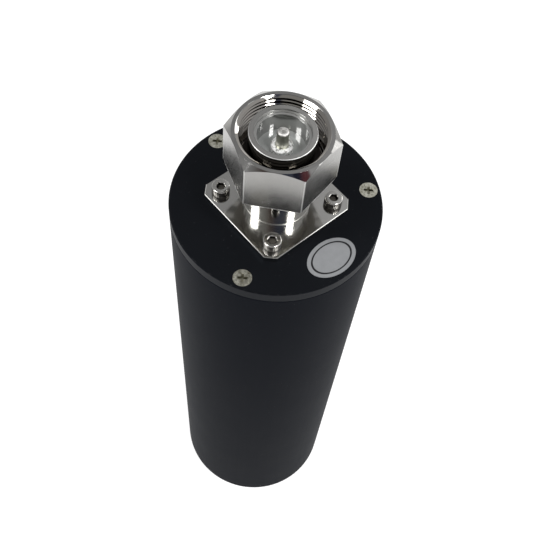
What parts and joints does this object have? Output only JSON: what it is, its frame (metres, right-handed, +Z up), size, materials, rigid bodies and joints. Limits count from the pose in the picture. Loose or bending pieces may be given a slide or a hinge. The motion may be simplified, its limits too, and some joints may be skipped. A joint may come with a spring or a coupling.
{
  "type": "coaxial termination",
  "caption": "Round matched load in a smooth black cylindrical housing, with a coaxial plug, hexagonal coupling nut and square screwed flange on its flat cover.",
  "frame": {"origin": "centre of the flat foot, on the surface that the termination stands on", "axes": "+Z up along the housing's axis and out through the plug; one corner of the square flange points to -Y, the side that the picture shows"},
  "size_m": [0.073, 0.073, 0.2628],
  "materials": {
    "black_anodised": "satin",
    "bright_plating": "polished",
    "silver_plating": "satin",
    "nickel_steel": "satin",
    "spring_bronze": "satin",
    "white_insulator": "satin",
    "black_rubber": "matte",
    "gasket_rubber": "matte",
    "bare_aluminium": "satin",
    "film_ceramic": "satin",
    "label_foil": "satin"
  },
  "bodies": {
    "termination": {"housing": "black_anodised", "front_cover": "black_anodised", "cover_seal": "black_rubber", "flange_seal": "black_rubber", "mating_gasket": "gasket_rubber", "connector_body": "bright_plating", "front_insulator": "white_insulator", "insulator_sleeve": "bright_plating", "centre_pin": "silver_plating", "rear_conductor": "silver_plating", "load_sleeve": "bare_aluminium", "resistor_rod": "film_ceramic", "resistor_front_cap": "silver_plating", "resistor_rear_cap": "silver_plating", "end_plate": "bare_aluminium", "earth_collet": "spring_bronze", "collet_nut": "spring_bronze", "oval_label": "label_foil", "cover_screw_1": "nickel_steel", "cover_screw_2": "nickel_steel", "cover_screw_3": "nickel_steel", "flange_screw_1": "nickel_steel", "end_plate_screw_1": "nickel_steel", "flange_screw_2": "nickel_steel", "end_plate_screw_2": "nickel_steel", "flange_screw_3": "nickel_steel", "end_plate_screw_3": "nickel_steel", "flange_screw_4": "nickel_steel", "end_plate_screw_4": "nickel_steel"},
    "ring": {"retaining_ring": "spring_bronze"},
    "nut": {"coupling_nut": "bright_plating"}
  },
  "joints": [
    {"name": "nut_spin", "type": "hinge", "parent": "termination", "child": "ring", "pos_m": [0, 0, 0.24945], "axis": [0, 0, 1], "continuous": true},
    {"name": "nut_float", "type": "slide", "parent": "ring", "child": "nut", "axis": [0, 0, 1], "range_m": [0, 0.002]}
  ]
}
